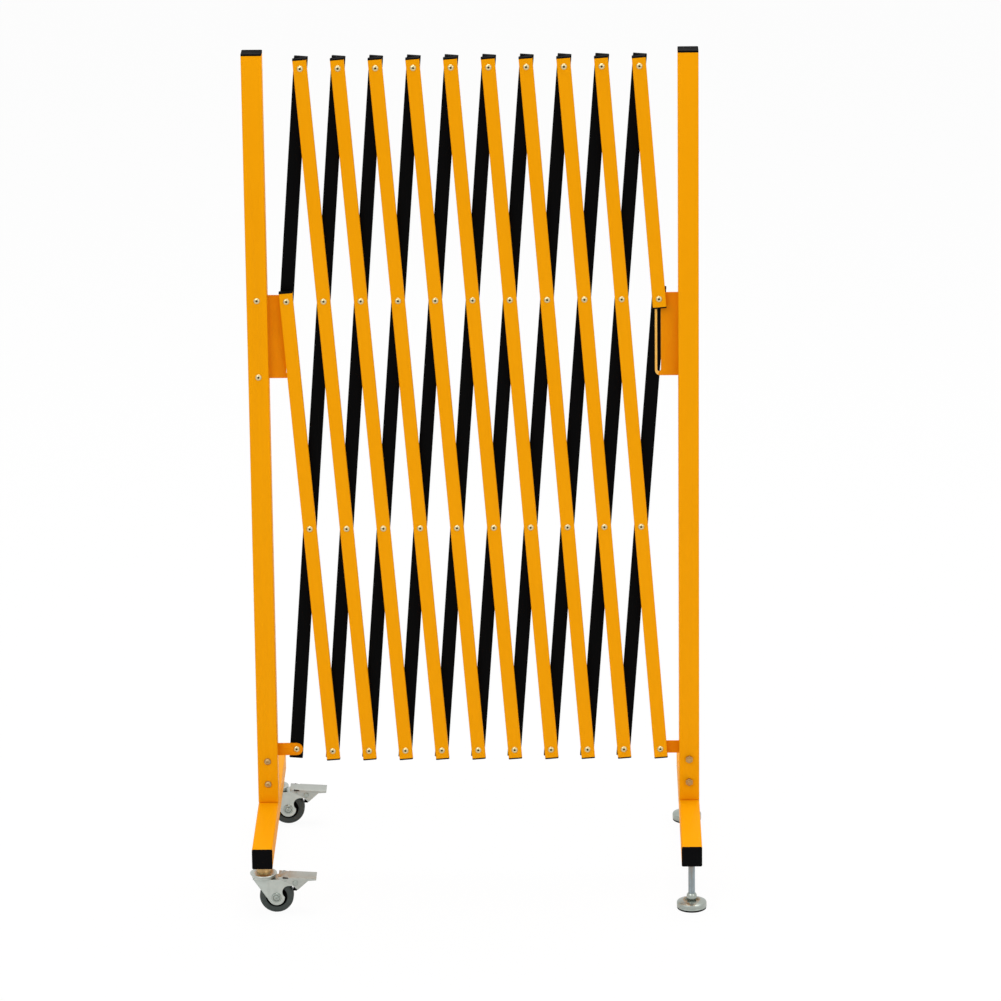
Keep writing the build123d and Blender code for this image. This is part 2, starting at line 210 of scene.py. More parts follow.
# Half of a wheel: radius and distance from its middle, in millimetres
TYRE_HALF = (
    (25.0, 5.0),
    (24.7, 6.4),
    (23.9, 7.6),
    (22.6, 8.5),
    (20.8, 9.0),
    (17.4, 9.0),
    (16.0, 8.7),
    (15.6, 8.0),
    (15.6, 7.5),
    (18.5, 7.4),
)
HUB_HALF = ((18.4, 7.4), (15.5, 7.4), (14.9, 2.0), (8.6, 2.0), (8.0, 2.6), (7.8, 10.5))

# An axle's end: radius and distance from the fork's middle, in millimetres
AXLE_END = (
    (4.0, 12.4),
    (7.5, 12.4),
    (7.5, 13.2),
    (7.0, 13.9),
    (6.0, 14.3),
    (5.2, 14.2),
    (4.6, 13.2),
    (3.4, 13.2),
    (3.2, 14.8),
    (2.4, 15.2),
    (1.4, 15.0),
    (0.9, 14.2),
)
PEDAL_PIN_END = ((2.0, 14.6), (3.8, 14.6), (3.8, 15.4), (3.2, 16.0), (1.6, 16.1))
PEDAL_PIN_PLACE = (47 * MM, 48.5 * MM)
PEDAL_STUD_END = ((1.9, 14.4), (1.8, 15.0), (1.2, 15.3))
PEDAL_STUD_PLACE = (32.5 * MM, 52.2 * MM)
PEDAL_NOTCH = ((28.5 * MM, 12.9 * MM, 55 * MM), (37 * MM, 20 * MM, 60 * MM))
PEDAL_NOTCH_CORNER = 0.8 * MM
PEDAL_TIP = (45 * MM, 38 * MM)
PEDAL_TIP_LIFT = 1.4 * MM
PEDAL_TAIL = (75 * MM, 52 * MM)
PEDAL_TAIL_LIFT = 2.2 * MM
SPRING_LEG = (28.6 * MM, 13.7 * MM, 57.2 * MM)
SPRING_LEG_LENGTH = 8.6 * MM
SPRING_LEG_RADIUS = 0.9 * MM
SPRING_LEG_DROP = math.radians(13)
SHOE_PAD = ((43.6 * MM, 36.6 * MM), (49.6 * MM, 38.6 * MM))
SHOE_PAD_REACH = 15.1 * MM
SHOE_PAD_EDGE = 0.6 * MM
FORK_BENDS = (6.5 * MM, 9.5 * MM)
FORK_ARCH = (37.4 * MM, 33.2 * MM)
FORK_ARCH_RADIUS = 9.8 * MM
FORK_FRONT = -5 * MM
FORK_BORE = 6 * MM
FORK_PINCH = 0.72

# Levelling feet: radius and height above the floor, in millimetres
CUP = (
    (20.6, 2.6),
    (21.6, 2.9),
    (22.0, 3.8),
    (21.6, 5.0),
    (21.9, 5.8),
    (21.9, 9.6),
    (21.2, 10.9),
    (19.6, 11.7),
    (14.0, 13.2),
    (11.4, 13.6),
    (10.2, 13.3),
    (9.6, 11.6),
    (7.0, 11.6),
    (6.9, 14.4),
    (7.6, 16.0),
    (7.8, 18.0),
    (7.3, 20.0),
    (7.4, 20.6),
    (7.2, 21.6),
    (5.6, 24.0),
    (5.1, 24.2),
)
PAD_RUBBER = ((20.2, 0), (21.3, 0.6), (21.6, 1.6), (21.3, 3.2))
STUD_CREST = 5 * MM
STUD_ROOT = 4.55 * MM
STUD_PITCH = 1.5 * MM
STUD_LOW = 23 * MM

# How a thread rises and falls along its pitch: share of the pitch and share of the depth
THREAD_SHARES = ((0.1, 0), (0.4, 1), (0.6, 1), (0.9, 0))

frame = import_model()
bpy.ops.object.select_all(action="DESELECT")
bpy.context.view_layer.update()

body_of_node = {
    node: body for body, nodes in frame["record"]["behaviour"]["bodies"].items() for node in nodes
}


# Modelling helpers


def only(piece):
    """Make a piece the one that operators act on."""
    bpy.ops.object.select_all(action="DESELECT")
    piece.select_set(True)
    bpy.context.view_layer.objects.active = piece


def open_with(piece, kind, wanted):
    """Open a piece in edit mode with the points, edges or faces that pass a test selected."""
    only(piece)
    bpy.context.tool_settings.mesh_select_mode = (kind == "VERT", kind == "EDGE", kind == "FACE")
    bpy.ops.object.mode_set(mode="EDIT")
    bpy.ops.mesh.select_all(action="DESELECT")
    bpy.ops.object.mode_set(mode="OBJECT")
    mesh = piece.data
    for part in {"VERT": mesh.vertices, "EDGE": mesh.edges, "FACE": mesh.polygons}[kind]:
        part.select = wanted(part)
    bpy.ops.object.mode_set(mode="EDIT")


def close():
    """Leave edit mode."""
    bpy.ops.object.mode_set(mode="OBJECT")


def edge_points(piece, edge):
    """The places of an edge's two ends."""
    return [piece.data.vertices[i].co for i in edge.vertices]


def settle(piece):
    """Put the piece's place into its mesh, with its faces outwards."""
    only(piece)
    bpy.ops.object.transform_apply(location=True, rotation=True, scale=True)
    open_with(piece, "FACE", lambda face: True)
    bpy.ops.mesh.normals_make_consistent(inside=False)
    close()
    return piece


def smooth(piece, sharpest=30):
    """Shade a piece smooth, apart from its sharp edges."""
    only(piece)
    bpy.ops.object.shade_smooth_by_angle(angle=math.radians(sharpest))
    return piece


def soften(piece, width, segments=2, sharpest=30):
    """Round a piece's edges and smooth what is left, as a tool or a coat of paint does."""
    only(piece)
    bevel = piece.modifiers.new("edges", "BEVEL")
    bevel.width = width
    bevel.segments = segments
    bevel.limit_method = "ANGLE"
    bevel.angle_limit = math.radians(sharpest)
    bpy.ops.object.modifier_apply(modifier=bevel.name)
    return smooth(piece, sharpest)


def block(name, low, high):
    """A box between two corners."""
    low, high = Vector(low), Vector(high)
    bpy.ops.mesh.primitive_cube_add(size=1, location=(low + high) / 2, scale=high - low)
    piece = bpy.context.object
    piece.name = name
    return settle(piece)


def turned(name, profile, sides=ROUND_SIDES, ring=False):
    """A piece turned on Z from (radius, height) steps. A ring is open through its middle."""
    radius, height = profile[0]
    fill = "NOTHING" if ring else "NGON"
    bpy.ops.mesh.primitive_circle_add(
        vertices=sides, radius=radius, fill_type=fill, location=(0, 0, height)
    )
    piece = bpy.context.object
    piece.name = name
    steps = profile[1:] + profile[:1] if ring else profile[1:]
    bpy.context.tool_settings.mesh_select_mode = (True, False, False)
    bpy.ops.object.mode_set(mode="EDIT")
    bpy.ops.mesh.select_all(action="SELECT")
    for next_radius, next_height in steps:
        bpy.ops.mesh.extrude_region_move(
            TRANSFORM_OT_translate={"value": (0, 0, next_height - height)}
        )
        scale = next_radius / radius
        bpy.ops.transform.resize(value=(scale, scale, 1))
        radius, height = next_radius, next_height
    bpy.ops.mesh.select_all(action="SELECT")
    bpy.ops.mesh.remove_doubles(threshold=MERGED)
    close()
    return smooth(settle(piece))


def in_metres(steps, base=0.0, way=1):
    """Steps given in millimetres, counted up or down from a base height."""
    return [(radius * MM, base + way * height * MM) for radius, height in steps]


def both_ends(steps):
    """A profile that is the same on both sides of its middle, from the steps of its upper half."""
    upper = in_metres(steps)
    lower = [(radius, -height) for radius, height in upper]
    return lower[::-1] + upper


def lay_along_y(piece):
    """Turn a piece made on Z so that its top faces the front."""
    piece.rotation_euler = (math.radians(90), 0, 0)
    return settle(piece)


def hexagon(name, width, low, height):
    """A hexagon nut on Z with chamfered corners."""
    corner = width / 2 / math.cos(math.pi / HEXAGON_SIDES)
    flat = corner - NUT_EDGE
    top = low + height
    profile = [(flat, low), (corner, low + NUT_EDGE), (corner, top - NUT_EDGE), (flat, top)]
    return smooth(turned(name, profile, HEXAGON_SIDES), sharpest=20)


def placed_copy(model, name, place):
    """A copy of a model with its own mesh, set in place."""
    piece = model.copy()
    piece.data = model.data.copy()
    piece.name = name
    bpy.context.collection.objects.link(piece)
    piece.matrix_world = place
    only(piece)
    bpy.ops.object.transform_apply(location=True, rotation=True, scale=True)
    return piece


def joined(name, pieces):
    """Several pieces as one."""
    only(pieces[0])
    for piece in pieces:
        piece.select_set(True)
    if len(pieces) > 1:
        bpy.ops.object.join()
    pieces[0].name = name
    return pieces[0]


def drop(*models):
    """Remove models that were only copied from."""
    for model in models:
        bpy.data.objects.remove(model)


def dress(piece, node, material, stands_for=True):
    """Give a piece its material and its body, and hide the CAD node that it stands for."""
    piece.data.materials.clear()
    piece.data.materials.append(material)
    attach(piece, body_of_node[node])
    if stands_for:
        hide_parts(node)
    return piece


def merged_copy(node):
    """A CAD node's own shape as one clean mesh."""
    piece = frame["nodes"][node].copy()
    piece.data = piece.data.copy()
    piece.name = node + "_finished"
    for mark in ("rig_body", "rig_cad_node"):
        del piece[mark]
    piece.parent = None
    bpy.context.collection.objects.link(piece)
    open_with(piece, "VERT", lambda point: True)
    bpy.ops.mesh.remove_doubles(threshold=MERGED)
    bpy.ops.mesh.dissolve_limited(angle_limit=FLAT_ANGLE)
    close()
    return piece


# Materials


def srgb(code):
    """A hex colour as the linear values that a shader takes."""
    parts = [int(code[i : i + 2], 16) / 255 for i in (0, 2, 4)]
    linear = [p / 12.92 if p <= 0.04045 else ((p + 0.055) / 1.055) ** 2.4 for p in parts]
    return (*linear, 1)


def add_node(tree, kind, sockets=None, **settings):
    """Add a node with its settings. Each socket takes a value, or a link from another node's output."""
    node = tree.nodes.new(kind)
    for name, value in settings.items():
        setattr(node, name, value)
    for socket, value in (sockets or {}).items():
        if isinstance(value, bpy.types.NodeSocket):
            tree.links.new(value, node.inputs[socket])
        else:
            node.inputs[socket].default_value = value
    return node


def new_material(name):
    """An empty node material with its output."""
    material = bpy.data.materials.new(name)
    material.use_nodes = True
    material.node_tree.nodes.clear()
    return material, material.node_tree, add_node(material.node_tree, "ShaderNodeOutputMaterial")


# Sockets of the colour mix, which has several of the same name
MIX_FACTOR = 0
MIX_COLOURS = (6, 7)
MIX_RESULT = 2

GRAIN_DETAIL = 2.0
CLOUD_DETAIL = 3.0


def finish(name, colours, rough, grain, relief, drift, metallic=0.0, specular=0.5):
    """A finish with a fine grain in its height and a slow drift in its colour and gloss.

    Grain is the width of the fine relief and drift the width of the clouds, both as lengths.
    """
    material, tree, output = new_material(name)
    place = add_node(tree, "ShaderNodeTexCoord").outputs["Object"]
    fine = add_node(
        tree, "ShaderNodeTexNoise", {"Vector": place, "Scale": 1 / grain, "Detail": GRAIN_DETAIL}
    )
    slow = add_node(
        tree, "ShaderNodeTexNoise", {"Vector": place, "Scale": 1 / drift, "Detail": CLOUD_DETAIL}
    )
    blend = {MIX_FACTOR: slow.outputs["Fac"]}
    blend.update(zip(MIX_COLOURS, map(srgb, colours)))
    tint = add_node(tree, "ShaderNodeMix", blend, data_type="RGBA")
    gloss = add_node(
        tree,
        "ShaderNodeMapRange",
        {"Value": slow.outputs["Fac"], "To Min": rough[0], "To Max": rough[1]},
    )
    bump = add_node(tree, "ShaderNodeBump", {"Height": fine.outputs["Fac"], "Distance": relief})
    shader = add_node(
        tree,
        "ShaderNodeBsdfPrincipled",
        {
            "Base Color": tint.outputs[MIX_RESULT],
            "Normal": bump.outputs["Normal"],
            "Roughness": gloss.outputs["Result"],
            "Metallic": metallic,
            "Specular IOR Level": specular,
        },
    )
    tree.links.new(shader.outputs["BSDF"], output.inputs["Surface"])
    return material


# Polyester powder coat cures with a faint orange peel about 2 mm across and a satin gloss
powder_yellow = finish(
    "powder_coat_yellow",
    ("F09C02", "F3A104"),
    rough=(0.36, 0.44),
    grain=2 * MM,
    relief=0.012 * MM,
    drift=90 * MM,
    specular=0.03,
)
# The same coat, deeper in colour on the laser-cut plates: painted shade for the shadow that falls on them
# between the posts and the bars
powder_painted_shade = finish(
    "powder_coat_painted_shade",
    ("E28403", "EC9004"),
    rough=(0.36, 0.44),
    grain=2 * MM,
    relief=0.012 * MM,
    drift=40 * MM,
    specular=0.03,
)
# A paler, glossier coat on the strip beyond each slot and on the slot's walls: a painted highlight, for
# the light that these narrow edges catch
powder_painted_highlight = finish(
    "powder_coat_painted_highlight",
    ("F2B44C", "EFBC5E"),
    rough=(0.3, 0.4),
    grain=2 * MM,
    relief=0.006 * MM,
    drift=20 * MM,
    specular=0.2,
)
# Black powder coat, nearly matt
powder_black = finish(
    "powder_coat_black",
    ("060607", "090909"),
    rough=(0.42, 0.5),
    grain=2 * MM,
    relief=0.012 * MM,
    drift=90 * MM,
    specular=0.02,
)
# Moulded polyethylene is matt from the grain of its mould
moulded_black = finish(
    "moulded_polyethylene_black",
    ("0B0B0C", "0F0F10"),
    rough=(0.5, 0.6),
    grain=0.8 * MM,
    relief=0.01 * MM,
    drift=20 * MM,
    specular=0.01,
)
# Zinc plate over pressed sheet is satin and a little cloudy
zinc_plate = finish(
    "satin_zinc_plate",
    ("C0C5BF", "ADB3AC"),
    rough=(0.28, 0.4),
    grain=2 * MM,
    relief=0.002 * MM,
    drift=9 * MM,
    metallic=1.0,
)
# The pedal's sheet is handled and stepped on, and its zinc is duller
zinc_dull = finish(
    "dull_zinc_plate",
    ("B2B5AF", "A4A7A1"),
    rough=(0.36, 0.48),
    grain=2 * MM,
    relief=0.002 * MM,
    drift=9 * MM,
    metallic=1.0,
)
# A blue passivation gives the zinc of the levelling studs a cold grey
zinc_blue = finish(
    "blue_passivated_zinc",
    ("A2ADB1", "929EA3"),
    rough=(0.36, 0.44),
    grain=2 * MM,
    relief=0.002 * MM,
    drift=8 * MM,
    metallic=1.0,
)
# Deep-drawn cups and turned pins keep a smooth bright zinc that mirrors what stands near them
zinc_drawn = finish(
    "drawn_bright_zinc",
    ("A9B0AA", "989F98"),
    rough=(0.3, 0.36),
    grain=4 * MM,
    relief=0.001 * MM,
    drift=20 * MM,
    metallic=1.0,
)
# A yellow passivation turns the zinc of bolts and caster stems a dull straw brown
zinc_yellow = finish(
    "yellow_passivated_zinc",
    ("BFA274", "A98A58"),
    rough=(0.34, 0.44),
    grain=2 * MM,
    relief=0.002 * MM,
    drift=8 * MM,
    metallic=1.0,
)
# The clear passivation on rivet heads is bright with a faint straw tint
zinc_clear = finish(
    "clear_passivated_zinc",
    ("D6C798", "C8B886"),
    rough=(0.28, 0.38),
    grain=2 * MM,
    relief=0.002 * MM,
    drift=8 * MM,
    metallic=1.0,
)
# The broken mandrel in a blind rivet is bare drawn steel, dark with oil, and darker still as painted
# shade for the rivet's hollow and for the notches in which the pedal's spring legs lie
dark_steel_and_painted_shade = finish(
    "drawn_steel_and_painted_shade",
    ("2E2622", "3A302A"),
    rough=(0.5, 0.6),
    grain=0.8 * MM,
    relief=0.01 * MM,
    drift=3 * MM,
    metallic=0.6,
)
# Moulded rubber tread, dark grey and dull
tyre_rubber = finish(
    "moulded_grey_rubber",
    ("464C4A", "3F4543"),
    rough=(0.55, 0.68),
    grain=0.7 * MM,
    relief=0.02 * MM,
    drift=12 * MM,
    specular=0.15,
)


# Places that the frame gives


def middle(node):
    """The middle of a node's box."""
    low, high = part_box(node)
    return (low + high) / 2


def shifted(place):
    """A place as a move from the origin."""
    return Matrix.Translation(place)


LABELS = [f"{number:02d}" for number in range(1, BAR_COUNT + 1)]
ENDS = ("front", "rear")
HALF_TURN_Y = Matrix.Rotation(math.pi, 4, "Y")
HALF_TURN_Z = Matrix.Rotation(math.pi, 4, "Z")

rivet_low, rivet_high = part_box("bar_rivets_" + LONG_BAR)
front_low, front_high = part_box("front_bar_" + LONG_BAR)
front_face = front_low.y
layer_face = front_high.y
rear_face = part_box("rear_bar_" + LONG_BAR)[1].y
rivet_run = rivet_high - rivet_low - Vector((2 * HEAD_RADIUS, 0, 2 * HEAD_RADIUS))
lean = math.atan2(rivet_run.x, rivet_run.z)
row_rise = rivet_run.z / LONG_BAR_SPANS
pivot_spacing = row_rise / math.cos(lean)
bar_length = (front_high.z - front_low.z - BAR_WIDTH * math.sin(lean)) / math.cos(lean)
bar_overhang = (bar_length - LONG_BAR_SPANS * pivot_spacing) / 2
lattice_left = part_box("bar_rivets_" + LABELS[0])[0].x + HEAD_RADIUS
lattice_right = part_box("bar_rivets_" + LABELS[-1])[1].x - HEAD_RADIUS
lowest_row = rivet_low.z + HEAD_RADIUS

post_low, post_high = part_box("left_post")
post_size = post_high.y - post_low.y
post_face = post_low.y
foot_low, foot_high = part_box("left_foot")

left_axis = middle("left_post").x
side_places = {
    "left": shifted((left_axis, 0, 0)),
    "right": shifted((middle("right_post").x, 0, 0)) @ HALF_TURN_Z,
}


# Lattice


def at_height(piece, edge, height):
    """Whether an edge lies level at a height."""
    return all(abs(point.z - height) < LEVEL for point in edge_points(piece, edge))


def along(piece, edge, axis):
    """Whether an edge runs along an axis, given by its number."""
    start, end = edge_points(piece, edge)
    return abs((end - start)[axis]) > (end - start).length * PARALLEL_SHARE


def round_edges(piece, wanted, width, segments):
    """Round the edges of a piece that pass a test."""
    open_with(piece, "EDGE", lambda edge: wanted(piece, edge))
    bpy.ops.mesh.bevel(offset=width, segments=segments)
    close()


def bar_model(pivots):
    """A front bar, upright on the middle of its length: its tube, and its two end caps as one piece."""
    half = pivot_spacing * (pivots - 1) / 2 + bar_overhang
    side = BAR_WIDTH / 2
    seam = half - CAP_THICKNESS
    tube = block("tube", (-side, front_face, -seam), (side, layer_face, seam))
    cap = block("cap", (-side, front_face, seam), (side, layer_face, half))
    for piece in (tube, cap):
        round_edges(piece, lambda own, edge: along(own, edge, Z_AXIS), BAR_CORNER, CORNER_STEPS)
    round_edges(cap, lambda own, edge: at_height(own, edge, half), CAP_EDGE, EDGE_STEPS)
    caps = joined("caps", [cap, placed_copy(cap, "lower_cap", HALF_TURN_Y)])
    return smooth(tube, sharpest=40), smooth(caps, sharpest=40)


bar_models = {pivots: bar_model(pivots) for pivots in PIVOT_COUNTS}
for label in LABELS:
    for node, turn, facing, paint, slot in (
        ("front_bar_" + label, -lean, Matrix.Identity(4), powder_yellow, "yellow_paint"),
        ("rear_bar_" + label, lean, HALF_TURN_Z, powder_black, "black_paint"),
    ):
        low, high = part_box(node)
        tube, caps = bar_models[round((high.z - low.z) / row_rise) + 1]
        centre = Vector((middle(node).x, 0, middle(node).z))
        place = shifted(centre) @ Matrix.Rotation(turn, 4, "Y") @ facing
        dress(placed_copy(tube, node + "_tube", place), node, paint)
        caps = placed_copy(caps, node + "_caps", place)
        dress(caps, node, moulded_black, stands_for=False)
for models in bar_models.values():
    drop(*models)


# Rivets


def rivet_model(front, rear, washer=False):
    """A blind rivet on Y through the origin, its heads on two faces, and the mandrel left inside it."""
    profile = in_metres(RIVET_HEAD, -rear, -1) + in_metres(RIVET_HEAD, -front)[::-1]
    parts = [turned("rivet", profile, SMALL_SIDES)]
    if washer:
        half = -layer_face
        rim = [(WASHER_RADIUS - WASHER_EDGE, half), (WASHER_RADIUS, half - WASHER_EDGE)]
        profile = [(radius, -height) for radius, height in rim] + rim[::-1]
        parts.append(turned("washer", profile, SMALL_SIDES))
    mandrel = turned("mandrel", in_metres(MANDREL, -front), SMALL_SIDES)
    return lay_along_y(joined("rivet", parts)), lay_along_y(mandrel)


post_leaf = post_face + LEAF_DEPTH
rivet_models = {
    "through": rivet_model(front_face, rear_face, washer=True),
    "at_plate": rivet_model(front_face, rear_face),
    "right_tab": rivet_model(front_face, PLATE_FACE),
    "left_tab": rivet_model(-PLATE_FACE, rear_face),
    "post": rivet_model(post_face, post_leaf),
}
# The mandrels' dark steel is partly painted shade in the rivets' hollows
RIVET_PARTS = (("_heads", zinc_clear, True), ("_mandrels", dark_steel_and_painted_shade, False))


def set_rivets(node, places):
    """The rivets of a node, from their kinds and places."""
    for part, (name, material, whole) in enumerate(RIVET_PARTS):
        copies = [placed_copy(rivet_models[kind][part], node, place) for kind, place in places]
        piece = smooth(joined(node + name, copies), sharpest=35)
        dress(piece, node, material, stands_for=whole)


def rivet_kind(place):
    """Which rivet a pivot of the lattice has: plates and tabs take the place of the washer."""
    if abs(place.x - lattice_right) < NEAR and abs(place.z - lowest_row) < NEAR:
        return "right_tab"
    at_plate = min(abs(place.x - lattice_left), abs(place.x - lattice_right)) < NEAR
    return "at_plate" if at_plate else "through"


for label in LABELS:
    low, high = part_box("bar_rivets_" + label)
    count = round((high.z - low.z - 2 * HEAD_RADIUS) / row_rise) + 1
    step = Vector((-pivot_spacing * math.sin(lean), 0, row_rise))
    lowest = Vector((high.x - HEAD_RADIUS, 0, low.z + HEAD_RADIUS))
    places = [lowest + step * row for row in range(count)]
    set_rivets("bar_rivets_" + label, [(rivet_kind(place), shifted(place)) for place in places])

post_rivet_low, post_rivet_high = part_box("right_rivets")
post_rivet_rows = (post_rivet_low.z + HEAD_RADIUS, post_rivet_high.z - HEAD_RADIUS)
left_tab_rivet = ("left_tab", shifted((lattice_left, 0, lowest_row)))
for side, more in (("left", [left_tab_rivet]), ("right", [])):
    places = [("post", side_places[side] @ shifted((0, 0, row))) for row in post_rivet_rows]
    set_rivets(side + "_rivets", places + more)
for models in rivet_models.values():
    drop(*models)


# Posts, feet and plates


def finished_post(node):
    """A post with its lower outer edge rounded more, which leaves a seam over the foot."""
    post = merged_copy(node)
    axis = middle(node).x
    reach = post_size / 2 - NEAR

    def outer_bottom(own, edge):
        low = at_height(own, edge, post_low.z)
        points = edge_points(own, edge)
        return low and all(max(abs(point.x - axis), abs(point.y)) > reach for point in points)

    round_edges(post, outer_bottom, SEAM_EDGE, segments=1)
    return soften(post, TUBE_EDGE)


def slotted_plates(node, slot):
    """A side's plates, parted along the outer edge of the slot so that the strip beyond it can differ."""
    plates = merged_copy(node)
    outwards = math.copysign(1, slot - middle(node).x)
    only(plates)
    bpy.ops.object.mode_set(mode="EDIT")
    bpy.ops.mesh.select_all(action="SELECT")
    bpy.ops.mesh.bisect(plane_co=(slot + outwards * SLOT_HALF, 0, 0), plane_no=(1, 0, 0))
    close()
    return soften(plates, PLATE_EDGE)


def paint_strip_highlight(plates, slot):
    """Give the strip beyond the slot, and the slot's walls, the pale coat of a painted highlight."""
    plates.data.materials.append(powder_painted_highlight)
    postwards = math.copysign(1, slot)
    for face in plates.data.polygons:
        points = [plates.data.vertices[i].co for i in face.vertices]
        reach = max((point.x - slot) * postwards for point in points)
        if reach < SLOT_REACH and face.center.z > lowest_row + row_rise:
            face.material_index = 1


for side, slot in (("left", lattice_left), ("right", lattice_right)):
    dress(finished_post(side + "_post"), side + "_post", powder_yellow)
    foot = soften(merged_copy(side + "_foot"), TUBE_EDGE)
    dress(foot, side + "_foot", powder_yellow)
    plates = slotted_plates(side + "_brackets", slot)
    # The plates take the darker coat, which is painted shade
    dress(plates, side + "_brackets", powder_painted_shade)
    # The strip beyond the slot and the slot's walls get a painted highlight
    paint_strip_highlight(plates, slot)


# Plugs


def plug_model():
    """A square plug on Z, its head upwards with a shallow dish in it, and the rest below zero."""
    half = post_size / 2
    head = block("plug", (-half, -half, 0), (half, half, PLUG_HEAD))
    round_edges(head, lambda own, edge: along(own, edge, Z_AXIS), PLUG_CORNER, CORNER_STEPS)
    open_with(head, "FACE", lambda face: face.center.z > PLUG_HEAD - LEVEL)
    bpy.ops.mesh.inset(thickness=PLUG_RIM)
    bpy.ops.transform.translate(value=(0, 0, -PLUG_DISH))
    close()
    round_edges(head, lambda own, edge: at_height(own, edge, PLUG_HEAD), PLUG_EDGE, EDGE_STEPS)
    half = PLUG_BODY / 2
    body = block("plug_body", (-half, -half, -PLUG_DEPTH), (half, half, 0))
    round_edges(body, lambda own, edge: along(own, edge, Z_AXIS), PLUG_CORNER, HIDDEN_STEPS)
    return smooth(joined("plug", [head, body]), sharpest=25)


plug = plug_model()
foot_middle = foot_low.z + post_size / 2
plug_places = (
    shifted((0, 0, post_high.z)),
    shifted((0, foot_low.y, foot_middle)) @ Matrix.Rotation(math.pi / 2, 4, "X"),
    shifted((0, foot_high.y, foot_middle)) @ Matrix.Rotation(-math.pi / 2, 4, "X"),
)
for side, side_place in side_places.items():
    copies = [placed_copy(plug, "plug", side_place @ place) for place in plug_places]
    dress(joined(side + "_plugs_moulded", copies), side + "_plugs", moulded_black)
drop(plug)


# Foot bolts

bolt_low, bolt_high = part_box("left_bolts")
bolt = turned("bolt", in_metres(BOLT, -post_face), SMALL_SIDES)
nut = hexagon("bolt_nut", BOLT_NUT_WIDTH, post_face - BOLT_NUT_HEIGHT, BOLT_NUT_HEIGHT)
bolt = lay_along_y(joined("bolt", [bolt, nut]))
bolt_rows = (bolt_low.z + BOLT_HEAD_RADIUS, bolt_high.z - BOLT_HEAD_RADIUS)
for side, side_place in side_places.items():
    copies = [placed_copy(bolt, "bolt", side_place @ shifted((0, 0, row))) for row in bolt_rows]
    piece = smooth(joined(side + "_bolts_turned", copies))
    dress(piece, side + "_bolts", zinc_yellow)
drop(bolt)


# Casters

race = turned("race", in_metres(RACE))
stem_nut = hexagon("stem_nut", STEM_NUT_WIDTH, STEM_NUT_LOW, STEM_NUT_HEIGHT)
stem = joined("stem", [turned("stem", in_metres(STEM)), stem_nut])
tyre = lay_along_y(turned("tyre", both_ends(TYRE_HALF), ring=True))
hub = lay_along_y(turned("hub", both_ends(HUB_HALF)))
axle = lay_along_y(turned("axle", both_ends(AXLE_END), SMALL_SIDES))
pedal_pin = lay_along_y(turned("pedal_pin", both_ends(PEDAL_PIN_END), SMALL_SIDES))
pedal_stud = lay_along_y(turned("pedal_stud", in_metres(PEDAL_STUD_END), SMALL_SIDES))
spring_leg = turned(
    "spring_leg", [(SPRING_LEG_RADIUS, 0), (SPRING_LEG_RADIUS, SPRING_LEG_LENGTH)], SMALL_SIDES
)
spring_leg.rotation_euler = (0, math.pi / 2 + SPRING_LEG_DROP, 0)
settle(spring_leg)


def cut_with(piece, cutter):
    """Take a cutter's shape out of a piece."""
    only(piece)
    cut = piece.modifiers.new("cut", "BOOLEAN")
    cut.object = cutter
    bpy.ops.object.modifier_apply(modifier=cut.name)
    drop(cutter)


def shaped_fork(node, axis):
    """A fork with its front corners pressed inwards and its arch cut round the tyre.

    Its race is left off and turned as a piece of its own.
    """
    fork = merged_copy(node)
    open_with(fork, "VERT", lambda point: point.co.z > FORK_TOP + JUST_OVER)
    bpy.ops.mesh.delete(type="VERT")
    bpy.ops.mesh.select_all(action="SELECT")
    bpy.ops.mesh.fill_holes(sides=0)
    for bend in FORK_BENDS:
        bpy.ops.mesh.select_all(action="SELECT")
        bpy.ops.mesh.bisect(plane_co=(axis.x + bend, 0, 0), plane_no=(1, 0, 0))
    close()
    open_with(
        fork,
        "VERT",
        lambda point: point.co.x < axis.x + FORK_FRONT and abs(point.co.y - axis.y) > FORK_BORE,
    )
    bpy.ops.transform.resize(value=(1, FORK_PINCH, 1), center_override=axis)
    close()
    arch_x, arch_z = FORK_ARCH
    reach = post_size
    arch = lay_along_y(turned("arch", [(FORK_ARCH_RADIUS, -reach), (FORK_ARCH_RADIUS, reach)]))
    arch.location = axis + Vector((arch_x, 0, arch_z))
    cut_with(fork, settle(arch))
    return soften(fork, PRESSED_EDGE)


def notched_pedal(node, axis):
    """A pedal with the notch over each side in which its spring lies, and its lower corners drawn up."""
    pedal = merged_copy(node)
    for (reach_x, reach_z), lift in ((PEDAL_TIP, PEDAL_TIP_LIFT), (PEDAL_TAIL, PEDAL_TAIL_LIFT)):
        corner = axis + Vector((reach_x, 0, reach_z))
        open_with(pedal, "VERT", lambda point: point.co.x > corner.x and point.co.z < corner.z)
        bpy.ops.transform.translate(value=(0, 0, lift))
        close()
    low, high = (Vector(corner) for corner in PEDAL_NOTCH)
    for turn in (Matrix.Identity(4), Matrix.Scale(-1, 4, (0, 1, 0))):
        cutter = block("notch", low, high)
        round_edges(
            cutter, lambda own, edge: along(own, edge, Y_AXIS), PEDAL_NOTCH_CORNER, CORNER_STEPS
        )
        cutter.matrix_world = shifted(axis) @ turn
        cut_with(pedal, settle(cutter))
    return soften(pedal, PRESSED_EDGE)


def set_fork(end, axis):
    """A caster's fork with its race."""
    node = end + "_caster_fork"
    dress(shaped_fork(node, axis), node, zinc_plate)
    piece = placed_copy(race, end + "_race", shifted(axis))
    dress(piece, node, zinc_plate, stands_for=False)


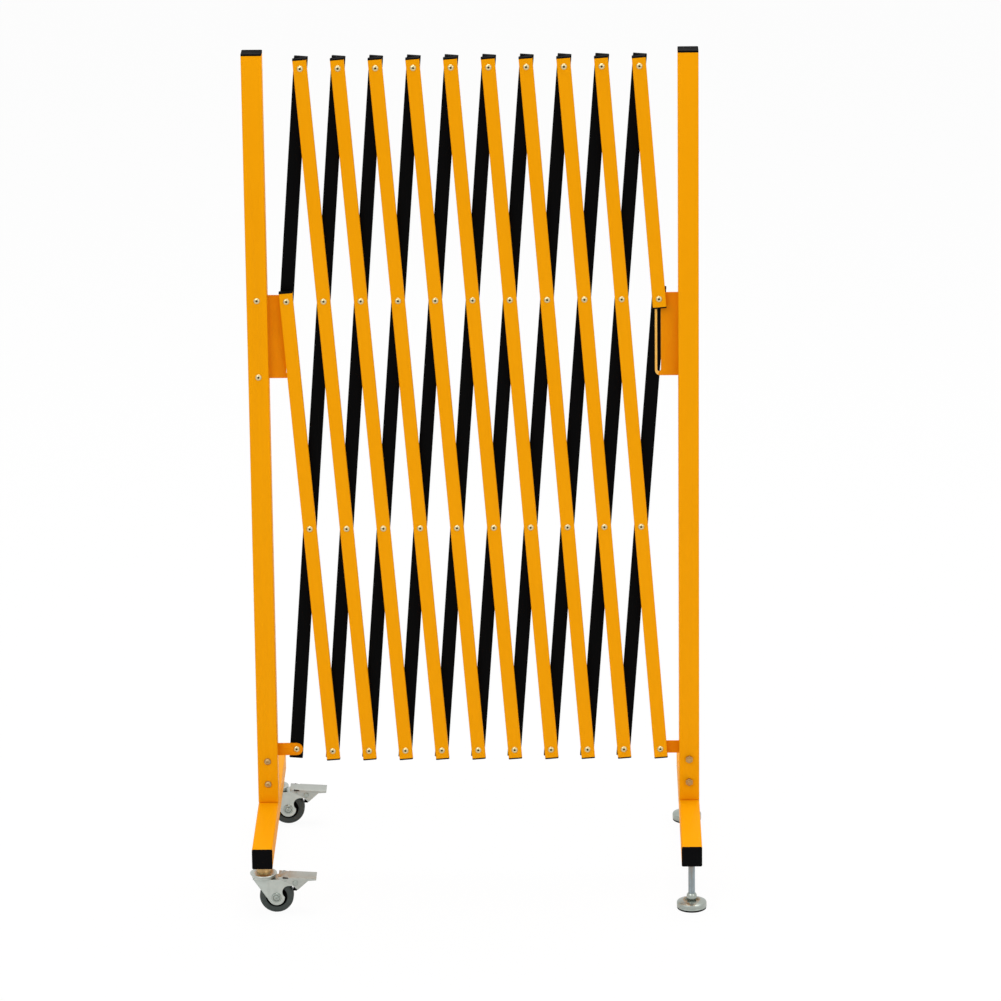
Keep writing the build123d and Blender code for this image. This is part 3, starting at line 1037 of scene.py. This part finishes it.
def set_pins(end, axis, wheel):
    """A caster's axle and the pin of its pedal."""
    node = end + "_caster_pins"
    pin_x, pin_z = PEDAL_PIN_PLACE
    pins = [
        placed_copy(axle, "axle", shifted(wheel)),
        placed_copy(pedal_pin, "pedal_pin", shifted(axis + Vector((pin_x, 0, pin_z)))),
    ]
    dress(joined(node + "_turned", pins), node, zinc_drawn)


def set_wheel(end, wheel):
    """A caster's tyre and hub."""
    for model, part, material, slot in (
        (tyre, "_caster_tyre", tyre_rubber, "grey_rubber"),
        (hub, "_caster_hub", moulded_black, "black_plastic"),
    ):
        node = end + part
        dress(placed_copy(model, node + "_moulded", shifted(wheel)), node, material)


def set_pedal(end, axis):
    """A brake pedal with its studs, the legs of its spring and the pad of its shoe."""
    node = end + "_brake_pedal"
    dress(notched_pedal(node, axis), node, zinc_dull)
    stud_x, stud_z = PEDAL_STUD_PLACE
    place = shifted(axis + Vector((stud_x, 0, stud_z)))
    studs = [placed_copy(pedal_stud, "stud", side) for side in (place, place @ HALF_TURN_Z)]
    piece = joined(end + "_pedal_studs", studs)
    dress(piece, node, zinc_drawn, stands_for=False)
    leg_x, leg_y, leg_z = SPRING_LEG
    legs = [
        placed_copy(spring_leg, "leg", shifted(axis + Vector((leg_x, way * leg_y, leg_z))))
        for way in (-1, 1)
    ]
    # The spring legs' dark steel is partly painted shade in the pedal's notches
    piece = joined(end + "_pedal_springs", legs)
    dress(piece, node, dark_steel_and_painted_shade, stands_for=False)
    low, high = (Vector((x, 0, z)) for x, z in SHOE_PAD)
    reach = Vector((0, SHOE_PAD_REACH, 0))
    pad = soften(block(end + "_shoe_pad", axis + low - reach, axis + high + reach), SHOE_PAD_EDGE)
    dress(pad, node, moulded_black, stands_for=False)


stems = []
for end in ENDS:
    wheel = middle(end + "_caster_tyre")
    axis = Vector((left_axis, wheel.y, 0))
    stems.append(placed_copy(stem, end + "_stem", shifted(axis)))
    set_fork(end, axis)
    set_pins(end, axis, wheel)
    set_wheel(end, wheel)
    set_pedal(end, axis)
dress(joined("caster_stems_turned", stems), "caster_stems", zinc_yellow)
drop(race, stem, tyre, hub, axle, pedal_pin, pedal_stud, spring_leg)


# Levelling feet


def threaded(name, low, high):
    """A stud with rings for its thread, which look as the thread does from the side."""
    depth = STUD_CREST - STUD_ROOT
    profile = [(STUD_ROOT, low)]
    for turn in range(int((high - low) / STUD_PITCH)):
        start = low + STUD_PITCH * turn
        profile += [
            (STUD_ROOT + depth * rise, start + STUD_PITCH * run) for run, rise in THREAD_SHARES
        ]
    profile.append((STUD_ROOT, high))
    return turned(name, profile, SMALL_SIDES)


stud = threaded("stud", STUD_LOW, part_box("front_levelling_stud")[1].z)
cup = turned("cup", in_metres(CUP))
pad = turned("pad", in_metres(PAD_RUBBER))
for end in ENDS:
    place = middle(end + "_levelling_stud")
    place = shifted((place.x, place.y, 0))
    for model, node, material, slot, whole in (
        (stud, end + "_levelling_stud", zinc_blue, "zinc_plated_steel", True),
        (cup, end + "_levelling_pad", zinc_drawn, "zinc_plated_steel", True),
        (pad, end + "_levelling_pad", moulded_black, "black_plastic", False),
    ):
        piece = placed_copy(model, f"{end}_{model.name}_turned", place)
        dress(piece, node, material, whole)
drop(stud, cup, pad)


# Floor, light and camera

bpy.ops.mesh.primitive_plane_add(size=FLOOR_SIZE)
floor = bpy.context.object
floor.name = "studio_floor"
floor_paper, tree, output = new_material("white_studio_floor")
paper = add_node(tree, "ShaderNodeBsdfDiffuse", {"Color": srgb(FLOOR_COLOUR)})
glow = add_node(tree, "ShaderNodeEmission", {"Strength": 1.0})
rays = add_node(tree, "ShaderNodeLightPath").outputs
mirrored = add_node(
    tree, "ShaderNodeMath", {0: rays["Is Glossy Ray"], 1: FLOOR_MIRRORED}, operation="MULTIPLY"
)
seen = add_node(
    tree,
    "ShaderNodeMath",
    {0: rays["Is Camera Ray"], 1: rays["Is Transmission Ray"]},
    operation="MAXIMUM",
)
share = add_node(
    tree,
    "ShaderNodeMath",
    {0: seen.outputs[0], 1: FLOOR_GLOW, 2: mirrored.outputs[0]},
    operation="MULTIPLY_ADD",
)
mix = add_node(
    tree, "ShaderNodeMixShader", {0: share.outputs[0], 1: paper.outputs[0], 2: glow.outputs[0]}
)
tree.links.new(mix.outputs[0], output.inputs["Surface"])
floor.data.materials.append(floor_paper)

world = bpy.data.worlds.new("studio")
bpy.context.scene.world = world
world.use_nodes = True
tree = world.node_tree
tree.nodes.clear()
ambient = add_node(tree, "ShaderNodeBackground", {"Color": WHITE, "Strength": AMBIENT})
mirrored = add_node(tree, "ShaderNodeBackground", {"Color": WHITE, "Strength": REFLECTED})
white = add_node(tree, "ShaderNodeBackground", {"Color": WHITE, "Strength": 1.0})
rays = add_node(tree, "ShaderNodeLightPath").outputs
mix = add_node(
    tree,
    "ShaderNodeMixShader",
    {0: rays["Is Glossy Ray"], 1: ambient.outputs[0], 2: mirrored.outputs[0]},
)
mix = add_node(
    tree,
    "ShaderNodeMixShader",
    {0: rays["Is Camera Ray"], 1: mix.outputs[0], 2: white.outputs[0]},
)
add_node(tree, "ShaderNodeOutputWorld", {"Surface": mix.outputs[0]})


def softbox(name, place, size, power):
    """A square soft light that faces the barrier."""
    bpy.ops.object.light_add(type="AREA", location=place)
    lamp = bpy.context.object
    lamp.name = name
    lamp.data.size = size
    lamp.data.energy = power
    lamp.rotation_euler = (Vector(LAMPS_FACE) - Vector(place)).to_track_quat("-Z", "Y").to_euler()


for name, (place, size, power) in SOFTBOXES.items():
    softbox(name, place, size, power)

bpy.ops.object.camera_add(location=CAMERA_PLACE)
camera = bpy.context.object
camera.name = "photograph_camera"
aim = Matrix.Rotation(CAMERA_TURN, 4, "Z") @ Matrix.Rotation(math.pi / 2 - CAMERA_DIP, 4, "X")
camera.matrix_world = shifted(CAMERA_PLACE) @ aim @ Matrix.Rotation(CAMERA_ROLL, 4, "Z")
camera.data.sensor_width = CAMERA_SENSOR
camera.data.lens = CAMERA_LENS
camera.data.clip_end = CAMERA_REACH
bpy.context.scene.camera = camera

bpy.context.scene.view_settings.view_transform = "Standard"
